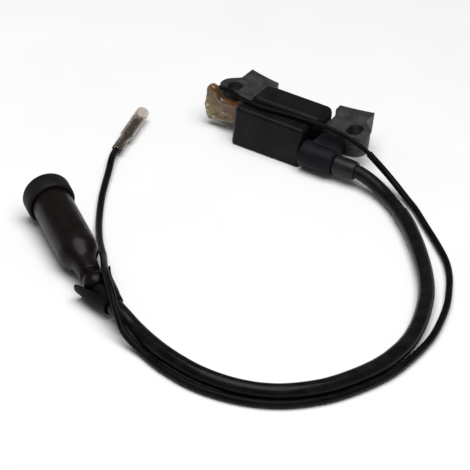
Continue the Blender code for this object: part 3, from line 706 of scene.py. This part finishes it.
def shell_block(low, high, corner, edge, wall):
    """A moulded case, open underneath: round upright corners, round top edge, and an even wall."""
    steps, edge_steps = 10, 8
    outer = []
    for tuck, rise in BOTTOM_EDGE:
        outline = round_rect(
            (low[0] + tuck, low[1] + tuck), (high[0] - tuck, high[1] - tuck), corner - tuck, steps
        )
        outer.append([(x, y, low[2] + rise) for x, y in outline])
    for i in range(edge_steps + 1):
        angle = math.pi / 2 * i / edge_steps
        inset = edge * (1 - math.cos(angle))
        outline = round_rect(
            (low[0] + inset, low[1] + inset), (high[0] - inset, high[1] - inset),
            max(0.25, corner - inset), steps,
        )
        outer.append([(x, y, high[2] - edge + edge * math.sin(angle)) for x, y in outline])
    inner = []
    for height in (high[2] - wall, low[2]):
        outline = round_rect(
            (low[0] + wall, low[1] + wall), (high[0] - wall, high[1] - wall),
            max(0.3, corner - wall), steps,
        )
        inner.append([(x, y, height) for x, y in outline])
    shape = bmesh.new()
    outside = [[shape.verts.new(p) for p in ring] for ring in outer]
    inside = [[shape.verts.new(p) for p in ring] for ring in inner]
    for rows in (outside, inside):
        for a, b in zip(rows, rows[1:]):
            for i in range(len(a)):
                j = (i + 1) % len(a)
                shape.faces.new((a[i], a[j], b[j], b[i]))
    shape.faces.new(outside[-1])
    shape.faces.new(inside[0])
    rim_out, rim_in = outside[0], inside[-1]
    for i in range(len(rim_out)):
        j = (i + 1) % len(rim_out)
        shape.faces.new((rim_out[i], rim_out[j], rim_in[j], rim_in[i]))
    return shape


def add_housings():
    """The winding block behind and the igniter block in front."""
    rear = finish_mesh("winding_case", shell_block(*COIL_CASE, 3.6, 3.4, 1.2), BLACK_REAR)
    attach(rear, "coil")
    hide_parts("coil_housing")
    front = finish_mesh("igniter_case", shell_block(*IGNITER_CASE, 2.4, 2.2, 1.2), BLACK_FRONT)
    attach(front, "coil")
    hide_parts("igniter_housing")


def add_tower():
    """The high-tension outlet: box stub and boss, then the collar that grips the lead."""
    boss_profile = soft_profile(
        [(3.7, 0.0), (6.6, 0.0), (7.0, 0.8), (7.0, 12.2), (6.9, 16.2), (5.9, 18.2), (3.7, 18.2)], 0.7
    )
    boss = turned(boss_profile, 56)
    bmesh.ops.transform(boss, matrix=along_x(BOSS_START, *LEAD_AXIS), verts=boss.verts)
    stub = shell_block((20.3, -20.6, 2.0), (34.1, -9.4, 16.0), 1.2, 0.8, 2.0)
    mesh = bpy.data.meshes.new("stub")
    stub.to_mesh(mesh)
    stub.free()
    boss.from_mesh(mesh)
    bpy.data.meshes.remove(mesh)
    tower = finish_mesh("lead_outlet", boss, BLACK_TOWER)
    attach(tower, "coil")
    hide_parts("ht_tower")
    collar_profile = [
        (3.65, 0.0), (4.9, 0.0), (5.0, 0.8), (5.0, 8.4), (4.75, 11.4), (4.3, 12.0), (3.65, 12.0),
    ]
    collar = finish_mesh(
        "lead_collar", turned(soft_profile(collar_profile, 0.5), 48), COLLAR_RUBBER,
        along_x(COLLAR_START, *LEAD_AXIS),
    )
    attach(collar, "coil")
    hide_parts("ht_collar")


def add_terminal_cover():
    """The amber cover: a soft pouch, pinched at its edges and open where the blade goes in."""
    corners = [
        (-23.9, 6.6), (-32.0, 4.8), (-40.6, 3.0), (-42.9, 4.2), (-44.2, 7.6), (-45.2, 10.9),
        (-44.9, 13.6), (-44.7, 17.5), (-44.8, 20.6), (-43.6, 22.4), (-41.4, 22.7), (-38.9, 21.0),
        (-36.6, 17.6), (-33.6, 16.8), (-28.5, 17.2), (-23.9, 17.9),
    ]
    outline = [(p.x, p.z) for p in smooth_route([(x, 0, z) for x, z in corners], 0.8)]
    outline.reverse()
    layers = [(2.9, 1.75), (1.9, 2.1), (1.1, 2.3), (0.5, 2.1), (0.12, 1.5), (0.0, 0.7)]
    layers += [(inset, -y) for inset, y in reversed(layers)]
    rng = random.Random(5)
    dents = [(rng.uniform(-44, -26), rng.uniform(5, 20), rng.uniform(-0.6, 0.35)) for _ in range(20)]

    def dent(x, z):
        return sum(d * math.exp(-((x - u) ** 2 + (z - w) ** 2) / 4.0) for u, w, d in dents)

    rings = []
    for inset, y in layers:
        ring = inset_outline(outline, inset)
        ring = [(min(x, -23.9), z) for x, z in ring]
        rings.append([(x, TAB_Y + y + math.copysign(dent(x, z), y), z) for x, z in ring])
    shape = skin(rings)
    bmesh.ops.recalc_face_normals(shape, faces=shape.faces)
    mouth = [f for f in shape.faces if f.calc_center_median().x > -24.2 and abs(f.normal.x) > 0.7]
    bmesh.ops.delete(shape, geom=mouth, context="FACES")
    cover = finish_mesh("amber_cover", shape, AMBER, sharp=70)
    wall = cover.modifiers.new("wall", "SOLIDIFY")
    wall.thickness = 0.6 * MM
    wall.offset = -1.0
    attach(cover, "coil")
    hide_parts("terminal_cover")
    return cover


# ---------------------------------------------------------------- plug cap and connector

CAP_MATRIX = axis_matrix(SEAL_CENTRE + CAP_DIRECTION * (SEAL_LENGTH / 2), CAP_DIRECTION)


def add_cap():
    """The plug cap's turned pieces, finely stepped."""
    seal_profile = [
        (10.3, -7.7), (10.3, 0.0), (11.3, 0.0), (SEAL_RADIUS, -1.2), (SEAL_RADIUS, -9.0),
        (11.2, -SEAL_LENGTH), (9.3, -SEAL_LENGTH), (8.8, -9.6), (8.8, -7.7),
    ]
    seal = finish_mesh("cap_mouth_seal", turned(soft_profile(seal_profile, 0.6), 72), SEAL_RUBBER,
                       CAP_MATRIX)
    body_profile = [
        (10.0, -7.4), (10.0, 37.2), (9.75, 39.6), (9.0, 41.9), (7.9, 43.9), (6.9, 45.7), (6.25, 47.4),
        (5.85, 50.0), (5.4, NECK_END), (3.7, NECK_END), (3.7, 28.0), (8.3, 28.0), (8.3, -7.4),
    ]
    body = finish_mesh("plug_cap", turned(soft_profile(body_profile, 1.0), 72), GLOSS_BLACK, CAP_MATRIX)
    bead_profile = [(4.0, NECK_END + 0.2), (5.3, NECK_END + 0.2)]
    bead_profile += [(r, BEAD_AT + h) for h, r in arc((0.0, 0.0), BEAD_RADIUS, 140, 46, 20)]
    bead_profile += [(4.0, BEAD_AT + 4.6)]
    bead = finish_mesh("cap_bead", turned(bead_profile, 56), GLOSS_BLACK, CAP_MATRIX)
    for piece, node, slot in (
        (seal, "cap_seal", "black_rubber"),
        (body, "cap_body", "black_gloss"),
        (bead, "cap_neck_bead", "black_gloss"),
    ):
        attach(piece, "coil")
        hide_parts(node)
    return [seal, body, bead]


def add_boot():
    """The soft funnel: a scoop cut away above the bead, with a thick, wavy, turned-out lip."""
    entry = SEAL_CENTRE + CAP_DIRECTION * (SEAL_LENGTH / 2 + BOOT_AT)
    matrix = axis_matrix(entry, BOOT_DIRECTION)
    mouth, end, cut_depth = -6.1, 14.4, 13.5
    cut_middle, cut_reach, cut_slope = (math.radians(a) for a in (108, 78, 46))
    widths = [(8.65, 0.0), (8.45, 0.22), (7.9, 0.42), (6.9, 0.64), (5.8, 0.83), (5.15, 1.0)]
    far_middle, far_spread = 32, 26
    sides, steps, wall = 72, 24, 1.15

    def start_of(angle):
        off = abs((angle - cut_middle + math.pi) % (2 * math.pi) - math.pi)
        near = min(1.0, max(0.0, (cut_reach - off) / cut_slope))
        return mouth + cut_depth * near**2 * (3 - 2 * near) + 0.3 * math.sin(3 * angle + 0.6)

    def width_at(share):
        for (r0, s0), (r1, s1) in zip(widths, widths[1:]):
            if share <= s1:
                return r0 + (r1 - r0) * max(0.0, share - s0) / (s1 - s0)
        return widths[-1][0]

    def surface(inset):
        rings = []
        for k in range(steps + 1):
            t = k / steps
            ring = []
            for i in range(sides):
                angle = 2 * math.pi * i / sides - math.pi / 2
                begin = start_of(angle)
                z = begin + (end - begin) * t
                far = math.exp(-(((math.degrees(angle) - far_middle) / far_spread) ** 2))
                flare = (0.35 + 2.0 * far) * max(0.0, 1 - (z - begin) / 7.0) ** 2
                ripple = 0.10 * math.sin(5 * angle + z * 0.5) * (1 - t)
                width = width_at((z - mouth) / (end - mouth))
                r = max(3.75, width + flare + ripple - inset)
                ring.append((r * math.cos(angle), r * math.sin(angle), z))
            rings.append(ring)
        return rings

    outside = surface(0.0)
    inside = list(reversed(surface(wall)))
    lip = []
    for a, b in zip(outside[0], inside[-1]):
        middle = (Vector(a) + Vector(b)) / 2
        middle.z -= 0.4
        lip.append(tuple(middle))
    boot = finish_mesh("cap_funnel", skin([lip] + outside + inside, loop=True), BOOT_RUBBER, matrix,
                       sharp=60)
    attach(boot, "coil")
    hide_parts("cap_boot")
    return boot


def add_bullet():
    """The bullet terminal, and the clear cover over it on its own body."""
    matrix = axis_matrix(BULLET_START, BULLET_DIRECTION)
    terminal_profile = [
        (0.01, 0.3), (1.35, 0.3), (1.45, 2.0), (1.2, 4.0), (1.45, 6.0), (1.2, 8.5), (1.45, 10.5),
        (1.45, 15.3), (1.9, 16.2), (1.9, 24.0), (1.45, 24.7), (1.45, 25.9), (1.95, 26.7),
        (1.95, 30.6), (1.6, 31.9), (0.9, 32.7), (0.01, 32.8),
    ]
    terminal = finish_mesh(
        "bullet", turned(soft_profile(terminal_profile, 0.35), 32), TINNED, matrix
    )
    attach(terminal, "coil")
    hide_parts("bullet_terminal")
    cover_profile = [
        (2.7, 0.4), (2.7, 11.5), (2.95, 12.8), (3.45, 14.4), (3.6, 15.6), (3.6, 28.0), (3.6, 40.0),
        (3.55, 41.0), (3.1, 41.0), (3.05, 40.0), (3.05, 15.9), (2.9, 14.8), (2.4, 13.3), (2.15, 12.0),
        (2.15, 0.4),
    ]

    def squash(angle, radius, height):
        press = 0.03 * math.sin(height * 0.35) * math.cos(2 * angle)
        return radius * (1 + press - 0.03), height

    cover = finish_mesh(
        "bullet_sleeve", turned(soft_profile(cover_profile, 0.25), 40, wave=squash), CLEAR, matrix,
        sharp=60,
    )
    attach(cover, "bullet_cover")
    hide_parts("bullet_cover")
    return terminal, cover


def dress_inner_nodes():
    """The pieces inside keep their CAD shape and get their own materials."""
    nylon = plain_part("bobbin_nylon", (0.62, 0.58, 0.47), (0.74, 0.70, 0.60), 0.45)
    looks = {
        "kill_tab": BRASS, "kill_flag_terminal": BRASS, "ht_spike": BRASS, "plug_clip": BRASS,
        "cap_screw": BRASS, "cap_spring": TINNED,
        "primary_bobbin": nylon, "secondary_bobbin": nylon,
        "primary_winding": wound_wire("primary_wire", 0.6),
        "coil_potting": plain_part("coil_resin", (0.010, 0.010, 0.011), (0.022, 0.021, 0.022), 0.3, 120),
        "igniter_board": plain_part("board_mask", (0.02, 0.12, 0.05), (0.035, 0.19, 0.08), 0.4),
        "power_transistor": plain_part("package_epoxy", (0.018, 0.018, 0.019), (0.04, 0.04, 0.04), 0.5),
        "board_capacitor": plain_part("capacitor_dip", (0.50, 0.30, 0.08), (0.62, 0.38, 0.12), 0.4),
        "cap_resistor": plain_part("resistor_ceramic", (0.62, 0.57, 0.48), (0.74, 0.70, 0.62), 0.6),
        "ht_lead_end": LEAD_VINYL,
    }
    looks["igniter_potting"] = looks["coil_potting"]
    resistor = plain_part("resistor_body", (0.40, 0.30, 0.18), (0.52, 0.41, 0.26), 0.45)
    fine_wire = wound_wire("secondary_wire", 0.25)
    for i in range(1, 5):
        looks[f"secondary_winding_{i}"] = fine_wire
    for i in (1, 2):
        looks[f"board_resistor_{i}"] = resistor
    for node, look in looks.items():
        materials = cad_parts[node].data.materials
        materials.clear()
        materials.append(look)


add_core()
add_housings()
add_tower()
cover = add_terminal_cover()
cap_pieces = add_cap()
boot = add_boot()
bullet, bullet_cover = add_bullet()
dress_inner_nodes()

declare_cord(lead, "ht_lead")
declare_cord(
    sleeve, "ht_lead_sleeve",
)
declare_cord(
    wire, "kill_wire",
)
declare_cord(
    wire_sleeve, "kill_wire_sleeve",
)
